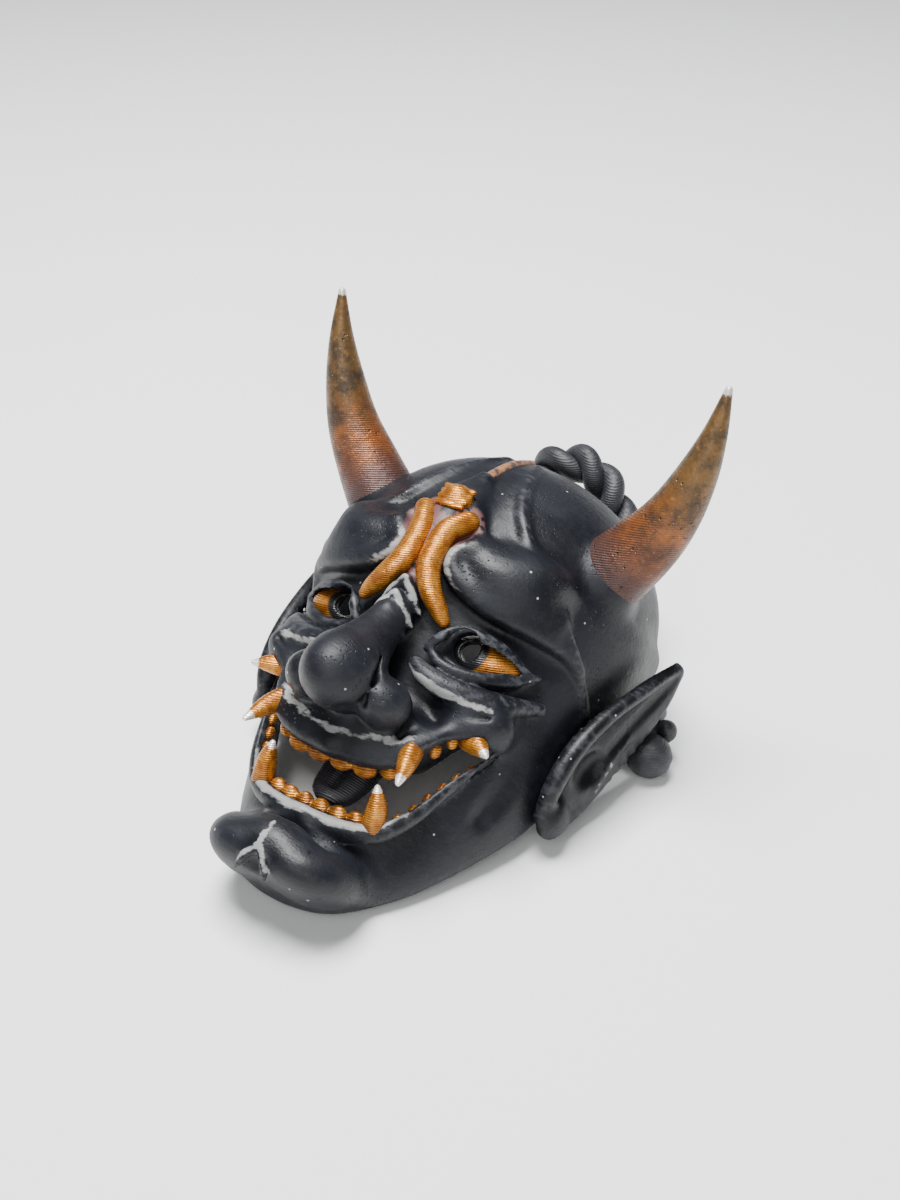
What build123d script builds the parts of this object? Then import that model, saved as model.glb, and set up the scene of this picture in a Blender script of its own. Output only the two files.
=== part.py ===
"""Horned demon face mask, a small painted decorative print that lies on its jaw and its two rope knobs.

The face is built on a plane that leans back, because that is how the mask lies. On that plane local
X is across the face, local Y runs from the face towards the open back, and local Z runs up the face.
"""

import os
from math import cos, radians, sin, tan

from build123d import *

os.makedirs("parts", exist_ok=True)

# ---------------------------------------------------------------- driving dimensions (mm)
LEAN = 46.5  # the face leans back from upright by this many degrees
EYE_HEIGHT = 19.6  # height above the ground of the point that the face plane is measured from
EYE_SETBACK = 2.748  # and how far behind the middle of the whole mask it lies
WALL = 2.8  # thickness of the shell
BACK = 22.0  # depth of the flat open back, behind eye level
JAW_RISE = 5.0  # the lower rear edge climbs from the jaw towards the ears by this many degrees
JAW_REST = -37.0  # how far along the ground the jaw touches it
SKULL_CENTRE = (0.0, 11.6, 16.8)
SKULL_RADII = (34.8, 36.1, 30.6)
PUPIL = 2.5  # radius of the see-through hole in each eye
PUPIL_AT = (14.2, 2.1)  # across and up the face
ROPE = 2.5  # radius of one strand of the rope
KNOB = 4.8  # radius of the rope's end knobs
KNOB_SPIGOT = 2.2  # radius of the spigot that holds each knob in the shell
SPIGOT_DEPTH = 32.8  # the spigot's inner end, across the face

UP = Vector(0, sin(radians(LEAN)), cos(radians(LEAN)))
FACE = Plane(origin=(0, EYE_SETBACK, EYE_HEIGHT), x_dir=(1, 0, 0), z_dir=UP)
FRONT = Plane(FACE.origin, x_dir=(1, 0, 0), z_dir=-FACE.y_dir)
KNOB_BACK = 19.4
KNOB_UP = (KNOB - EYE_HEIGHT + KNOB_BACK * sin(radians(LEAN))) / cos(radians(LEAN))  # it stands on the ground
KNOB_AT = (41.0, KNOB_BACK, KNOB_UP)

# Slices of the face from the skull's widest level down to the chin:
# level up the face, half width, front, centre of the half ellipse.
FACE_SLICES = (
    (19.0, 34.2, -23.6, 11.6),
    (6.0, 34.5, -26.4, 8.0),
    (-6.0, 33.9, -27.6, 4.0),
    (-16.0, 32.6, -28.6, 0.0),
    (-26.0, 30.6, -29.8, -3.0),
    (-36.0, 26.8, -30.6, -6.0),
    (-44.0, 22.2, -31.0, -10.0),
    (-50.0, 16.0, -31.0, -16.0),
    (-54.0, 9.0, -29.6, -20.0),
)

# Lines on the left half of the face, as points on the face plane, with the radii along them.
HORN = [(24.0, -1.2, 25.0), (32.0, -6.9, 33.6), (37.0, -11.4, 40.4), (40.3, -16.2, 48.0),
        (42.3, -21.0, 55.4), (43.3, -25.9, 63.4)]
HORN_RADII = (7.8, 6.6, 5.5, 4.1, 2.5, 0.8)
BROW_BAND = [(4.9, -25.8, 24.6), (2.7, -27.9, 21.6), (2.5, -29.0, 17.6), (2.8, -29.8, 13.6),
             (4.6, -29.7, 9.8),
             (7.2, -28.3, 6.8), (8.9, -27.2, 4.8)]
BROW_BAND_RADII = (1.9, 2.1, 2.2, 2.2, 2.1, 1.7, 1.2)
CROWN_LINE = [(0, -20.8, 31.4), (0, -17.8, 34.6), (0, -13.0, 38.7), (0, -7.0, 42.6), (0, 0.0, 45.7)]
BROW = [(7.6, -26.0, 17.6), (9.8, -25.6, 14.0), (14.4, -24.0, 12.6), (19.5, -21.2, 11.8), (24.4, -17.4, 11.0),
        (28.2, -12.4, 9.6)]
BROW_RADII = (2.2, 3.4, 3.7, 3.6, 3.0, 1.4)
TEMPLE_RIDGE = [(4.4, -5.4, 43.2), (7.0, -12.6, 38.4), (11.0, -18.2, 31.4), (15.6, -19.4, 25.2),
                (20.6, -18.6, 19.6),
                (25.2, -16.4, 14.6), (29.0, -13.0, 10.0)]
TEMPLE_RADII = (0.9, 1.2, 1.5, 1.6, 1.6, 1.5, 1.1)
LOWER_LID = [(8.6, -26.6, -1.2), (11.3, -26.7, -3.2), (15.3, -25.6, -3.7), (19.4, -23.0, -2.9),
             (23.0, -19.4, -1.2)]
LOWER_LID_RADII = (0.8, 1.3, 1.4, 1.3, 0.9)
CHEEK_FOLD = [(8.4, -27.6, -5.4), (12.0, -27.2, -7.2), (16.6, -26.4, -7.8), (21.6, -24.0, -7.6),
              (26.0, -18.6, -5.6)]
CHEEK_FOLD_RADII = (1.6, 2.6, 3.0, 3.0, 1.8)
NOSE_BRIDGE = [(0, -26.0, 9.0), (0, -29.5, 4.0), (0, -34.5, -3.0), (0, -39.0, -9.0)]
NOSE_BRIDGE_RADII = (3.4, 4.4, 5.6, 6.8)
UPPER_LIP = [(-24.0, -22.6, -11.6), (-19.6, -26.0, -13.4), (-14.0, -30.2, -19.6), (-7.0, -32.2, -23.2),
             (0.0, -32.8, -24.0), (7.0, -32.2, -23.2), (14.0, -30.2, -19.6), (19.6, -26.0, -13.4),
             (24.0, -22.6, -11.6)]
UPPER_LIP_RADII = (1.2, 2.0, 2.3, 2.3, 2.3, 2.3, 2.3, 2.0, 1.2)
LOWER_LIP = [(-22.8, -18.4, -15.0), (-20.6, -22.4, -23.0), (-17.0, -26.0, -31.2), (-12.0, -29.0, -36.4),
             (-6.0, -31.2, -37.6), (0.0, -32.0, -37.8), (6.0, -31.2, -37.6), (12.0, -29.0, -36.4),
             (17.0, -26.0, -31.2), (20.6, -22.4, -23.0), (22.8, -18.4, -15.0)]
LOWER_LIP_RADII = (1.2, 1.9, 2.0, 2.2, 2.3, 2.3, 2.3, 2.2, 2.0, 1.9, 1.2)
MOUTH_TOP = [(-24.0, -14.2), (-19.8, -14.6), (-16.0, -20.4), (-11.0, -24.6), (-5.0, -26.2), (0.0, -26.4),
             (5.0, -26.2), (11.0, -24.6), (16.0, -20.4), (19.8, -14.6), (24.0, -14.2)]
MOUTH_BOTTOM = [(24.0, -14.2), (20.2, -23.2), (17.2, -29.6), (14.2, -33.6), (8.0, -35.6), (0.0, -36.0),
                (-8.0, -35.6), (-14.2, -33.6), (-17.2, -29.6), (-20.2, -23.2), (-24.0, -14.2)]
FANG_CORNER = [(21.0, -23.0, -13.2), (23.8, -24.6, -14.0), (26.6, -26.2, -15.2)]
FANG_UPPER = [(14.8, -30.4, -19.8), (16.0, -33.4, -22.4), (17.2, -36.2, -25.8)]
FANG_LOWER = [(12.8, -28.8, -35.2), (12.5, -30.4, -31.4), (11.9, -32.0, -28.0)]
FANG_RADII = (2.3, 1.8, 0.6)
TONGUE = [(0, -25.4, -13.0), (0, -20.5, -20.0), (0, -20.0, -26.0), (0, -23.5, -31.0), (0, -26.5, -33.4)]
TONGUE_RADII = (3.4, 3.2, 3.0, 2.6, 1.6)
EAR = [(33.0, -1.5, -21.0), (33.8, 0.6, -15.0), (35.5, 3.4, -7.0), (37.8, 7.2, 1.5), (40.6, 11.0, 10.0),
       (42.0, 14.0, 17.2)]
EAR_WIDTHS = (3.0, 5.4, 7.0, 6.2, 4.0, 0.9)
ROPE_ARCH = [(41.2, 20.6, 3.4), (35.5, 26.2, 7.0), (28.6, 28.0, 11.5), (24.0, 28.4, 18.0), (20.6, 28.4, 26.0),
             (17.6, 28.0, 36.0), (12.4, 26.6, 46.4), (6.0, 23.6, 53.0), (0.0, 22.4, 54.8)]
ROPE_ARCH += [(-x, y, z) for x, y, z in ROPE_ARCH[-2::-1]]


def on_face(point):
    """A point given on the face plane, in the part's own frame."""
    return FACE.from_local_coords(Vector(*point))


def round_slices(points, radii, stretch=1.0):
    """Round slices, square to the line through the points, for a loft along it."""
    at = [on_face(p) for p in points]
    slices = []
    for i, (p, radius) in enumerate(zip(at, radii)):
        run = at[min(i + 1, len(at) - 1)] - at[max(i - 1, 0)]
        across = run.cross(Vector(*FACE.y_dir))
        with BuildSketch(Plane(origin=p, x_dir=across, z_dir=run)) as disc:
            Ellipse(radius * stretch, radius)
        slices.append(disc.sketch)
    return slices


def head_slices(inset):
    """The slices of the face from the cheekbones to the chin, drawn in from the outside by inset."""
    slices = []
    for level, width, front, centre in FACE_SLICES:
        lift = inset * max(0.0, -level - 42.0) / 9
        with BuildSketch(FACE.offset(level + lift)) as outline:
            with BuildLine():
                EllipticalCenterArc((0, centre), width - inset, centre - front - inset, 180, arc_size=180)
                Polyline((width - inset, centre), (width - inset, 40), (inset - width, 40),
                         (inset - width, centre))
            make_face()
        slices.append(outline.sketch)
    return slices


def egg(centre, radii, turn=(0, 0, 0)):
    """An ellipsoid on the face plane, turned about its own centre."""
    with BuildPart() as shape:
        Sphere(1)
        scale(by=tuple(radii))
    return FACE * Pos(*centre) * Rot(*turn) * shape.part


def box_on_face(low, high):
    """A box between two corners on the face plane."""
    middle = [(a + b) / 2 for a, b in zip(low, high)]
    with BuildPart() as shape:
        Box(*[b - a for a, b in zip(low, high)])
    return FACE * Pos(*middle) * shape.part


# ---------------------------------------------------------------- horns
skull_core = egg(SKULL_CENTRE, [r - 1.4 for r in SKULL_RADII])

with BuildPart() as horn_left:
    loft(round_slices(HORN, HORN_RADII))
    add(skull_core, mode=Mode.SUBTRACT)
horn_left.part.label = "horn_left"

with BuildPart() as horn_right:
    add(mirror(horn_left.part, about=Plane.YZ, mode=Mode.PRIVATE))
horn_right.part.label = "horn_right"

# ---------------------------------------------------------------- gilded pieces on the brow
with BuildPart() as brow_band_left:
    loft(round_slices(BROW_BAND, BROW_BAND_RADII))
brow_band_left.part.label = "brow_band_left"

with BuildPart() as brow_band_right:
    add(mirror(brow_band_left.part, about=Plane.YZ, mode=Mode.PRIVATE))
brow_band_right.part.label = "brow_band_right"

with BuildPart() as brow_crest:
    with BuildSketch(FACE.offset(26.0)):
        with Locations((0, -24.6)):
            RectangleRounded(4.4, 5.0, 1.2)
    with BuildSketch(FACE.offset(30.0)):
        with Locations((0, -22.6)):
            RectangleRounded(5.0, 5.0, 1.2)
    loft()
brow_crest.part.label = "brow_crest"

with BuildPart() as crown_inlay:
    loft(round_slices(CROWN_LINE, (1.3, 1.2, 1.1, 1.0, 0.8)))
crown_inlay.part.label = "crown_inlay"

# ---------------------------------------------------------------- gilded eye plates
EYE_PLANE = Plane(on_face((15.6, -21.0, 2.0)), x_dir=on_face((1, 0.45, 0.1)) - FACE.origin,
                  z_dir=on_face((0.4, -1, 0.1)) - FACE.origin)
PUPIL_PLANE = Plane(on_face((PUPIL_AT[0], 0, PUPIL_AT[1])), x_dir=(1, 0, 0), z_dir=FACE.y_dir)

with BuildPart() as eye_left:
    with BuildSketch(EYE_PLANE):
        Ellipse(8.4, 4.4)
    extrude(amount=2.4)
    with BuildSketch(PUPIL_PLANE):
        Circle(PUPIL)
    extrude(amount=60, both=True, mode=Mode.SUBTRACT)
eye_left.part.label = "eye_left"

with BuildPart() as eye_right:
    add(mirror(eye_left.part, about=Plane.YZ, mode=Mode.PRIVATE))
eye_right.part.label = "eye_right"

# ---------------------------------------------------------------- teeth and fangs
fangs = {}
for name, line in (("corner", FANG_CORNER), ("upper", FANG_UPPER), ("lower", FANG_LOWER)):
    with BuildPart() as fang_left:
        loft(round_slices(line, FANG_RADII))
    with BuildPart() as fang_right:
        add(mirror(fang_left.part, about=Plane.YZ, mode=Mode.PRIVATE))
    fangs[f"fang_{name}_left"] = fang_left.part
    fangs[f"fang_{name}_right"] = fang_right.part
for name, fang in fangs.items():
    fang.label = name


def tooth_row(teeth):
    """A row of blunt teeth: each is a rounded block at a point, with its size."""
    blocks = []
    for centre, size, turn in teeth:
        with BuildPart() as tooth:
            Box(*size)
            fillet(tooth.edges().filter_by(Axis.Z), min(size[:2]) * 0.35)
        blocks.append(FACE * Pos(*centre) * Rot(0, 0, turn) * tooth.part)
    return blocks


UPPER_TEETH = [((2.5, -30.6, -25.8), (4.6, 2.8, 3.6), 4), ((7.4, -29.9, -25.4), (4.4, 2.8, 3.6), 14),
               ((11.4, -28.6, -24.0), (3.0, 2.8, 3.6), 26)]
UPPER_TEETH += [((-x, y, z), size, -turn) for (x, y, z), size, turn in UPPER_TEETH]
LOWER_TEETH = [((2.0, -29.8, -35.2), (3.7, 2.6, 3.4), 3), ((5.9, -29.1, -35.0), (3.5, 2.6, 3.4), 12),
               ((9.0, -28.2, -35.0), (2.2, 2.4, 3.2), 20)]
LOWER_TEETH += [((-x, y, z), size, -turn) for (x, y, z), size, turn in LOWER_TEETH]

with BuildPart() as upper_teeth:
    add(tooth_row(UPPER_TEETH))
upper_teeth.part.label = "upper_teeth"

with BuildPart() as lower_teeth:
    add(tooth_row(LOWER_TEETH))
lower_teeth.part.label = "lower_teeth"

with BuildPart() as side_teeth_left:
    loft(round_slices([(15.6, -24.6, -32.2), (18.4, -22.4, -27.4), (20.8, -19.6, -21.4)], (1.4, 1.6, 1.2)))
side_teeth_left.part.label = "side_teeth_left"

with BuildPart() as side_teeth_right:
    add(mirror(side_teeth_left.part, about=Plane.YZ, mode=Mode.PRIVATE))
side_teeth_right.part.label = "side_teeth_right"

with BuildPart() as tongue:
    loft(round_slices(TONGUE, TONGUE_RADII, stretch=1.9))
tongue.part.label = "tongue"

# ---------------------------------------------------------------- ears
ear_lines = []
for point, width in zip(EAR, EAR_WIDTHS):
    with BuildSketch(Plane(on_face(point), x_dir=FACE.y_dir, z_dir=on_face((0.12, 0.35,
                     1)) - FACE.origin)) as slice_:
        Ellipse(width, max(0.9, width * 0.28))
    ear_lines.append(slice_.sketch)

with BuildPart() as ear_left:
    loft(ear_lines)
    with Locations(Plane(on_face((39.0, 3.0, -5.0)), z_dir=on_face((1, -0.25, 0)) - FACE.origin)):
        Cylinder(2.4, 2.2, mode=Mode.SUBTRACT)
ear_left.part.label = "ear_left"

with BuildPart() as ear_right:
    add(mirror(ear_left.part, about=Plane.YZ, mode=Mode.PRIVATE))
ear_right.part.label = "ear_right"

# ---------------------------------------------------------------- twisted rope and its end knobs
with BuildPart() as rope:
    loft(round_slices(ROPE_ARCH, [ROPE * 1.75] * len(ROPE_ARCH)))
rope.part.label = "rope"

with BuildPart() as rope_knob_left:
    with Locations(Plane(on_face(KNOB_AT))):
        Sphere(KNOB)
    with BuildSketch(Plane(on_face((SPIGOT_DEPTH, 18.4, KNOB_UP)), z_dir=(1, 0, 0))):
        Circle(KNOB_SPIGOT)
    extrude(amount=KNOB_AT[0] - SPIGOT_DEPTH)
    add(rope.part, mode=Mode.SUBTRACT)
rope_knob_left.part.label = "rope_knob_left"

with BuildPart() as rope_knob_right:
    add(mirror(rope_knob_left.part, about=Plane.YZ, mode=Mode.PRIVATE))
rope_knob_right.part.label = "rope_knob_right"

# ---------------------------------------------------------------- face shell
skull = egg(SKULL_CENTRE, SKULL_RADII)
hollow_skull = egg(SKULL_CENTRE, [r - WALL for r in SKULL_RADII])
nose_bulb = egg((0, -40.4, -12.2), (7.4, 8.6, 7.1))
nose_wing = egg((8.2, -34.4, -13.6), (4.9, 6.0, 4.8))
nostril = egg((4.4, -40.6, -18.8), (2.3, 3.4, 2.6))
chin_lobe = egg((5.8, -30.5, -46.4), (10.0, 13.4, 6.6))
upper_jaw = egg((0, -24.6, -19.6), (20.5, 9.4, 6.8))
brow_pad = egg((15.0, -16.6, 16.8), (12.5, 8.6, 6.2), (0, -14, 28))

with BuildPart() as hollow:
    loft(head_slices(WALL))
    add(hollow_skull)

cheek = egg((20.0, -19.4, -10.4), (8.6, 7.6, 4.6))
open_back = box_on_face((-60, BACK, -80), (60, 90, 80))

with BuildPart() as mouth:
    with BuildSketch(FRONT):
        with BuildLine():
            Spline(*MOUTH_TOP)
            Spline(*MOUTH_BOTTOM)
        make_face()
    extrude(amount=60)

with BuildPart() as eye_opening:
    with BuildSketch(EYE_PLANE.offset(1.0)):
        Ellipse(7.6, 3.4)
    extrude(amount=12)
    with BuildSketch(PUPIL_PLANE):
        Circle(PUPIL)
    extrude(amount=-60)

with BuildPart() as ground:
    with BuildSketch(Plane.YZ):
        with BuildLine():
            Polyline((-150, 0), (JAW_REST, 0), (100, (100 - JAW_REST) * tan(radians(JAW_RISE))), (100, -60),
                     (-150, -60), close=True)
        make_face()
    extrude(amount=60, both=True)

with BuildPart() as right_half:
    loft(head_slices(0))
    add(skull)
    add(upper_jaw)
    loft(round_slices(NOSE_BRIDGE, NOSE_BRIDGE_RADII))
    add(nose_bulb)
    for line, radii in ((BROW, BROW_RADII), (TEMPLE_RIDGE, TEMPLE_RADII), (LOWER_LID, LOWER_LID_RADII),
                        (CHEEK_FOLD, CHEEK_FOLD_RADII)):
        loft(round_slices([(-x, y, z) for x, y, z in line], radii))
    for lump in (chin_lobe, nose_wing, cheek, brow_pad):
        add(mirror(lump, about=Plane.YZ, mode=Mode.PRIVATE))
    loft(round_slices(UPPER_LIP, UPPER_LIP_RADII))
    loft(round_slices(LOWER_LIP, LOWER_LIP_RADII))
    add(hollow.part, mode=Mode.SUBTRACT)
    add(mouth.part, mode=Mode.SUBTRACT)
    for hole in (nostril, eye_opening.part):
        add(mirror(hole, about=Plane.YZ, mode=Mode.PRIVATE), mode=Mode.SUBTRACT)
    add(open_back, mode=Mode.SUBTRACT)
    add(ground.part, mode=Mode.SUBTRACT)
    for piece in (horn_right, brow_band_right, brow_crest, crown_inlay, eye_right, upper_teeth, lower_teeth,
                  side_teeth_right, tongue, ear_right, rope_knob_right):
        add(piece.part, mode=Mode.SUBTRACT)
    for name in ("fang_corner_right", "fang_upper_right", "fang_lower_right"):
        add(fangs[name], mode=Mode.SUBTRACT)
    split(bisect_by=Plane.YZ, keep=Keep.BOTTOM)

with BuildPart() as face_shell:
    add(right_half.part)
    mirror(about=Plane.YZ)
face_shell.part.label = "face_shell"

pieces = [b.part for b in (face_shell, horn_left, horn_right, brow_band_left, brow_band_right, brow_crest,
                           crown_inlay, eye_left, eye_right, upper_teeth, lower_teeth, side_teeth_left,
                           side_teeth_right, tongue, ear_left, ear_right, rope, rope_knob_left,
                           rope_knob_right)] + list(fangs.values())
for piece in pieces:
    export_step(piece, f"parts/{piece.label}.step")
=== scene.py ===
"""Looks of the small horned demon mask: its shape is modelled in clay, then painted.

The clay is a grid of distances in millimetres, on axes that lean back with the face: x runs to the
wearer's left, y from the face towards the open back, and z up the face. Each finished piece is turned
upright into the frame's own axes, in metres.
"""

from math import cos, pi, radians, sin, tan

import bpy
import numpy as np
import openvdb as vdb
from mathutils import Matrix


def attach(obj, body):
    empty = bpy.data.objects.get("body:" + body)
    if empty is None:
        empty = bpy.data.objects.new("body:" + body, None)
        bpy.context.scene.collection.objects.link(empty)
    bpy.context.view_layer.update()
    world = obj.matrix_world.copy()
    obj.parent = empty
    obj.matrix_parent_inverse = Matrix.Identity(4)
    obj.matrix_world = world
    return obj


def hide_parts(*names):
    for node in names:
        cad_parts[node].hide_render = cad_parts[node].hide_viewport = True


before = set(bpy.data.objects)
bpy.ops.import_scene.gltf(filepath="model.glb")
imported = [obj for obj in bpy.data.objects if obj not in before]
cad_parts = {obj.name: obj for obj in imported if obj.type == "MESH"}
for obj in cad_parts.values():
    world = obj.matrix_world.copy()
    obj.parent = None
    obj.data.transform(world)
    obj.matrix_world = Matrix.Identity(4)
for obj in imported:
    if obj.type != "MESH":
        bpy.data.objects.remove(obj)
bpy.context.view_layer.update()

# ---------------------------------------------------------------- driving dimensions (mm)
MM = 0.001
LEAN = radians(46.5)  # the face leans back from upright by this angle
EYE_HEIGHT = 19.6  # height of the face's own origin above the ground
EYE_SETBACK = 2.748  # and its distance behind the middle of the mask
WALL = 2.6  # thickness of the shell
BACK = 22.0  # depth of the flat open back
JAW_RISE = radians(5)  # the lower rear edge climbs towards the ears
JAW_REST = -43.0  # where the jaw leaves the ground
SKULL = ((0, 11.6, 16.8), (34.8, 36.1, 30.6))  # its centre and radii
PUPIL_AT = (14.2, 2.1)  # across and up the face
PUPIL = 2.1  # radius of the see-through hole in the gold eye plate
IRIS = 3.3  # radius of the hole for it in the shell
EYE_BACK = 17.0  # the gold plate ends this far in front of the face's origin
BLACK_RING = IRIS + 0.9  # radius of the black paint round the pupil
KNOB_AT = (41.0, 19.4, -1.06)

FACE_GRAIN = 0.5  # grid step of the clay
FINE_GRAIN = 0.3
SMALL_GRAIN = FINE_GRAIN * 1.3
SHARP = 1.2  # bend of the skin, per mm, that counts as a full ridge or a full hollow


# ---------------------------------------------------------------- clay
def blend_min(a, b, soft):
    """The nearer of two distances, rounded off over soft mm."""
    h = np.clip(0.5 + 0.5 * (b - a) / soft, 0, 1)
    return b + (a - b) * h - soft * h * (1 - h)


def blend_max(a, b, soft):
    return -blend_min(-a, -b, soft)


def turned(x_deg, y_deg, z_deg):
    """Rotation matrix for turns about x, then y, then z."""
    turn = Matrix.Rotation(radians(z_deg), 3, "Z") @ Matrix.Rotation(radians(y_deg), 3, "Y")
    return np.array(turn @ Matrix.Rotation(radians(x_deg), 3, "X"), np.float32)


def curve_through(points, radii, steps):
    """A smooth curve through the points, each with its radius."""
    knots = np.column_stack([np.array(points, float), np.array(radii, float)])
    ends = np.vstack([2 * knots[0] - knots[1], knots, 2 * knots[-1] - knots[-2]])
    curve = []
    for a, b, c, d in zip(ends, ends[1:], ends[2:], ends[3:]):
        for t in np.linspace(0, 1, steps, endpoint=False):
            bend = (2 * a - 5 * b + 4 * c - d) * t * t + (3 * b - a - 3 * c + d) * t**3
            curve.append(0.5 * (2 * b + (c - a) * t + bend))
    curve.append(knots[-1])
    curve = np.array(curve, np.float32)
    curve[:, 3] = np.maximum(curve[:, 3], 0.05)
    return curve


class Ball:
    """An ellipsoid, turned by degrees about its own centre."""

    def __init__(self, centre, radii, turn=(0, 0, 0)):
        self.centre = np.array(centre, np.float32)
        self.radii = np.array(radii, np.float32)
        self.turn = turned(*turn)
        self.low = self.centre - self.radii.max()
        self.high = self.centre + self.radii.max()

    def distance(self, x, y, z):
        offset = [x - self.centre[0], y - self.centre[1], z - self.centre[2]]
        near, slope = 0, 0
        for i in range(3):
            local = sum(self.turn[j, i] * offset[j] for j in range(3))
            near = near + (local / self.radii[i]) ** 2
            slope = slope + (local / self.radii[i] ** 2) ** 2
        near = np.sqrt(near)
        return near * (near - 1) / np.maximum(np.sqrt(slope), 1e-6)


class Rod:
    """A rounded rod along a smooth curve. side and wide flatten it into a band that much wider."""

    def __init__(self, points, radii, side=None, wide=1.0, steps=4):
        self.curve = curve_through(points, radii, steps)
        self.side = None if side is None else np.array(side, np.float32) / np.linalg.norm(side)
        self.pull = 1 - 1 / wide**2
        reach = self.curve[:, 3].max() * wide
        self.low = self.curve[:, :3].min(0) - reach
        self.high = self.curve[:, :3].max(0) + reach

    def nearest(self, x, y, z):
        """Distance to the rod's skin, and how far along it that is, from 0 to 1."""
        best, along = None, None
        count = len(self.curve) - 1
        for i, (a, b) in enumerate(zip(self.curve[:-1], self.curve[1:])):
            run = b - a
            length = max(float(run[:3] @ run[:3]), 1e-9)
            t = ((x - a[0]) * run[0] + (y - a[1]) * run[1] + (z - a[2]) * run[2]) / length
            t = np.clip(t, 0, 1)
            ox, oy, oz = x - a[0] - t * run[0], y - a[1] - t * run[1], z - a[2] - t * run[2]
            square = ox * ox + oy * oy + oz * oz
            if self.side is not None:
                square = square - self.pull * (ox * self.side[0] + oy * self.side[1] + oz * self.side[2]) ** 2
            gap = np.sqrt(np.maximum(square, 0)) - (a[3] + t * run[3])
            if best is None:
                best, along = gap, (i + t) / count
            else:
                along = np.where(gap < best, (i + t) / count, along)
                best = np.minimum(best, gap)
        return best, along

    def distance(self, x, y, z):
        return self.nearest(x, y, z)[0]


class Clay:
    """A block of clay between two corners. Its grid holds the distance to the skin, below 0 inside.

    A halved block starts at x = 0 and stands for both sides of the face."""

    def __init__(self, low, high, grain, halved=False):
        self.grain = grain
        self.halved = halved
        self.axes = []
        for axis, (a, b) in enumerate(zip(low, high)):
            shift = 0.5 if halved and axis == 0 else 0
            self.axes.append(np.float32(a + (np.arange(int((b - a) / grain) + 2) + shift) * grain))
        self.field = np.full([len(a) for a in self.axes], 50, np.float32)

    def all(self):
        x, y, z = self.axes
        return x[:, None, None], y[None, :, None], z[None, None, :]

    def _near(self, shape, soft):
        spans = []
        for axis, low, high in zip(self.axes, shape.low, shape.high):
            first = int(np.searchsorted(axis, low - soft - 1.5))
            spans.append(slice(first, max(first, int(np.searchsorted(axis, high + soft + 1.5)))))
        x, y, z = (axis[span] for axis, span in zip(self.axes, spans))
        x, y, z = x[:, None, None], y[None, :, None], z[None, None, :]
        distance = shape.distance(x, y, z)
        if self.halved:
            distance = blend_min(distance, shape.distance(-x, y, z), max(soft, 0.1))
        return tuple(spans), distance

    def add(self, shape, soft):
        spans, distance = self._near(shape, soft)
        self.field[spans] = blend_min(self.field[spans], distance, soft)

    def cut(self, shape, soft):
        spans, distance = self._near(shape, soft)
        self.field[spans] = blend_max(self.field[spans], -distance, soft)

    def keep(self, distance, soft):
        """Keeps what lies where distance is below 0."""
        self.field = blend_max(self.field, distance, soft).astype(np.float32)

    def whole(self):
        """The grid and its first corner, with both sides of a halved block."""
        start = np.array([axis[0] for axis in self.axes])
        if not self.halved:
            return self.field, start
        start[0] = -self.axes[0][-1]
        return np.concatenate([self.field[::-1], self.field]), start


def sample(field, index):
    """Reads a grid at fractional positions."""
    index = np.clip(index, 0, np.array(field.shape) - 1.001)
    base = index.astype(int)
    part = index - base
    total = 0
    for corner in np.ndindex(2, 2, 2):
        weight = np.prod(np.where(np.array(corner), part, 1 - part), axis=1)
        total = total + weight * field[tuple((base + corner).T)]
    return total


def box_blur(field, times):
    for _ in range(times):
        for axis in range(3):
            near = np.roll(field, 1, axis) + np.roll(field, -1, axis)
            field = (2 * field + near) / 4
    return field


def upright(points):
    """Points on the face's own axes, in mm, as points in the frame, in metres."""
    x, y, z = points.T
    across = y * cos(LEAN) + z * sin(LEAN) + EYE_SETBACK
    up = z * cos(LEAN) - y * sin(LEAN) + EYE_HEIGHT
    return np.column_stack([x, across, up]) * MM


def skin(name, clay, adaptivity=0.0, mirror=False):
    """The clay's surface as an object, and its points on the face's own axes."""
    field, start = clay.whole()
    grid = vdb.FloatGrid(10.0)
    grid.copyFromArray(np.ascontiguousarray(field / clay.grain))
    points, triangles, quads = grid.convertToPolygons(isovalue=0.0, adaptivity=adaptivity)
    for _ in range(2):
        half_steps = np.eye(3) * 0.5
        step = np.column_stack([sample(field, points + h) - sample(field, points - h) for h in half_steps])
        size = np.maximum((step**2).sum(1, keepdims=True), 1e-3)
        points = points - np.clip(sample(field, points)[:, None] * step / size, -0.5, 0.5)
    curve = box_blur(field, 2)
    bend = sum(np.roll(curve, 1, a) + np.roll(curve, -1, a) - 2 * curve for a in range(3)) / clay.grain**2
    bend = sample(bend, points)
    local = start + points * clay.grain
    faces = [f[::-1] for f in triangles.tolist()] + [f[::-1] for f in quads.tolist()]
    if mirror:
        local = local * (-1, 1, 1)
        faces = [f[::-1] for f in faces]
    obj = solid(name, local, faces)
    paint(obj, "ridge", np.clip(bend / SHARP, 0, 1))
    # hollow marks the creases and recesses, which the paints darken as painted shade
    paint(obj, "hollow", np.clip(-bend / SHARP, 0, 1))
    return obj, local


def solid(name, local, faces):
    """An object from points on the face's own axes."""
    mesh = bpy.data.meshes.new(name)
    mesh.from_pydata(upright(np.asarray(local)).tolist(), [], faces)
    mesh.validate()
    mesh.shade_smooth()
    obj = bpy.data.objects.new(name, mesh)
    bpy.context.collection.objects.link(obj)
    return obj


def paint(obj, name, values):
    """One number at each point, for the materials to read."""
    layer = obj.data.attributes.new(name, "FLOAT", "POINT")
    layer.data.foreach_set("value", np.asarray(values, np.float32))


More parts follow.
